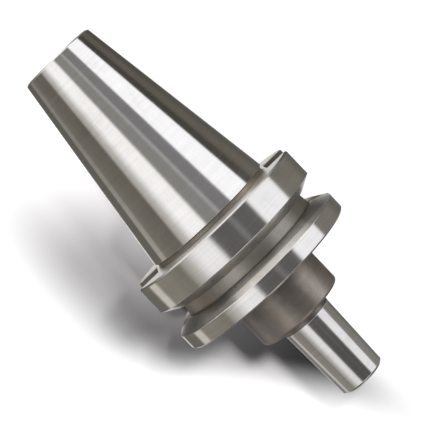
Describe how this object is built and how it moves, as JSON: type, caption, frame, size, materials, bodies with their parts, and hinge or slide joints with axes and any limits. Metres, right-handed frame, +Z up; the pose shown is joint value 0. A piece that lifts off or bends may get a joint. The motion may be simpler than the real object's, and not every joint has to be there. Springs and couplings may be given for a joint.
{
  "type": "drill chuck arbor",
  "caption": "Chuck arbor with a 7/24 steep taper shank, a V-grooved drive flange with key slots, a plain collar and a short chuck taper nose.",
  "frame": {"origin": "centre of the gauge plane, where the 7/24 taper is 44.45 mm across, on the arbor's axis", "axes": "+X along the arbor's axis out of the chuck nose, +Y through one drive slot, +Z up when the arbor lies on its flange"},
  "size_m": [0.1358, 0.063, 0.063],
  "materials": {
    "shank_steel": "case-hardened steel: taper and flange ground bright, gripper groove and collar left in the dark brown-grey hardened skin",
    "spigot_steel": "case-hardened steel: chuck taper ground bright, shoulder dark",
    "screw_steel": "black oxide",
    "washer_steel": "phosphated spring steel",
    "pin_steel": "ground"
  },
  "bodies": {
    "root": {"taper_shank": "shank_steel", "chuck_spigot": "spigot_steel", "draw_screw": "screw_steel", "lock_washer": "washer_steel", "key_pins": "pin_steel"}
  },
  "joints": []
}
